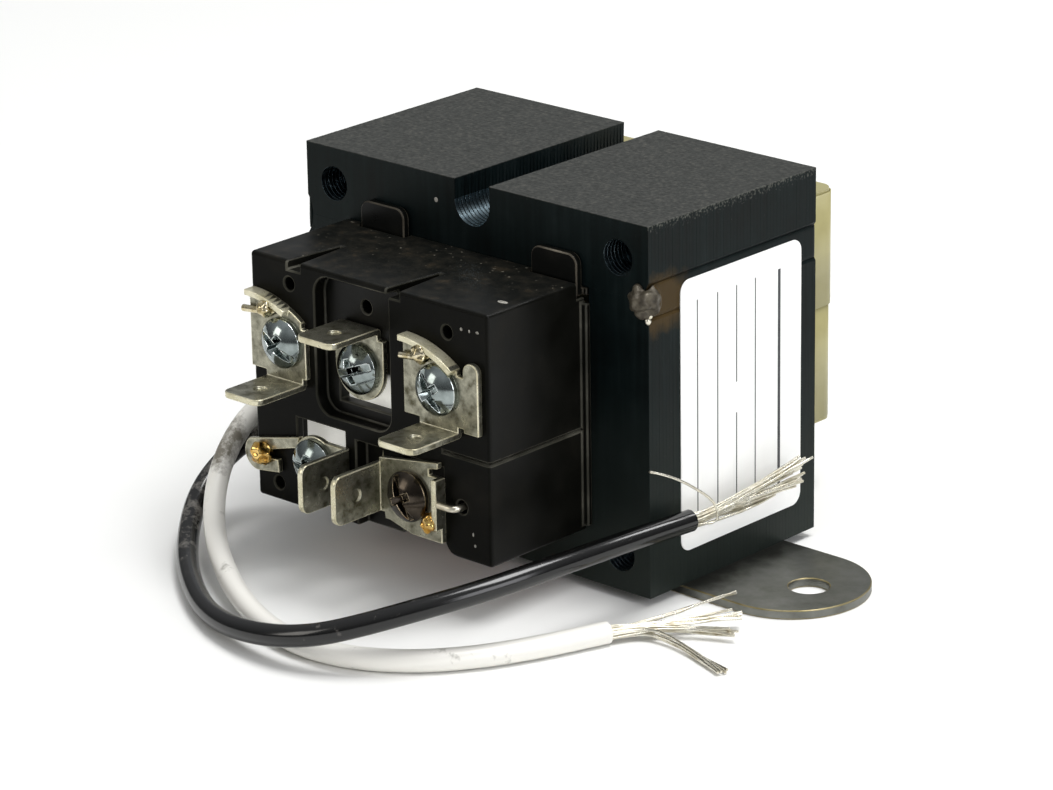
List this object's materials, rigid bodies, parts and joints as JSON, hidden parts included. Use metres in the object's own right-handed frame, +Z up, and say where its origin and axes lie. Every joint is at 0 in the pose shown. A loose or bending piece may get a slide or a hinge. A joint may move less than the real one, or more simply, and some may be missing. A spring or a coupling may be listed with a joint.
{
  "type": "electrical transformer",
  "caption": "Foot-mounted low-voltage control transformer: laminated steel core, taped coil, moulded terminal block with screw and tab terminals, and two loose wire leads.",
  "frame": {"origin": "centre of the foot strip's underside, midway between its two holes", "axes": "+X along the foot to the right as seen from the terminals, +Y from the terminals to the coil's back, +Z up"},
  "size_m": [0.0962, 0.0911, 0.0488],
  "materials": {
    "core_lacquer": "thin black lacquer over stacked steel sheets, satin, edges rubbed grey",
    "weld_bead": "rough grey-brown weld",
    "foot_steel": "dull steel strip under a thin brown varnish",
    "bobbin_plastic": "brown-black moulded plastic, varnished",
    "winding_copper": "enamelled copper wire, glossy",
    "sleeve_paper": "brown insulating paper, matte",
    "wrap_tape": "cream insulating tape, satin",
    "barrier_paper": "white insulating sheet, matte",
    "block_plastic": "black-brown moulded plastic, satin, rounded edges",
    "terminal_brass": "tinned brass, dull bright",
    "screw_zinc": "zinc plate, bright",
    "screw_bronze": "dark bronze passivated plate",
    "tinned_wire": "tinned copper, bright",
    "solder_tin": "tin solder with a trace of flux, smooth",
    "solder_flux": "tin solder under amber flux, glossy",
    "label_paper": "white label stock, satin, bare",
    "white_insulation": "white vinyl, slightly soiled, semi-gloss",
    "black_insulation": "black vinyl, glossy",
    "bare_strands": "bare tinned copper strands"
  },
  "bodies": {
    "root": {"core_e_stack": "core_lacquer", "core_i_stack": "core_lacquer", "seam_weld_left": "weld_bead", "seam_weld_right": "weld_bead", "mounting_foot": "foot_steel", "bobbin": "bobbin_plastic", "primary_winding": "winding_copper", "secondary_winding": "winding_copper", "insulation_sleeve": "sleeve_paper", "coil_wrap": "wrap_tape", "barrier_sheet": "barrier_paper", "terminal_block": "block_plastic", "side_label": "label_paper", "white_lead": "white_insulation", "black_lead": "black_insulation", "white_lead_strands": "bare_strands", "black_lead_strands": "bare_strands", "terminal_top_left": "terminal_brass", "screw_top_left": "screw_zinc", "terminal_top_centre": "terminal_brass", "screw_top_centre": "screw_zinc", "terminal_top_right": "terminal_brass", "screw_top_right": "screw_zinc", "terminal_bottom_left": "terminal_brass", "screw_bottom_left": "screw_zinc", "terminal_bottom_right": "terminal_brass", "screw_bottom_right": "screw_bronze", "coil_end_top_left": "tinned_wire", "solder_top_left": "solder_tin", "coil_end_top_right": "tinned_wire", "solder_top_right": "solder_tin", "coil_end_bottom_right": "tinned_wire", "solder_bottom_right": "solder_tin", "solder_bottom_left": "solder_flux"}
  },
  "joints": []
}
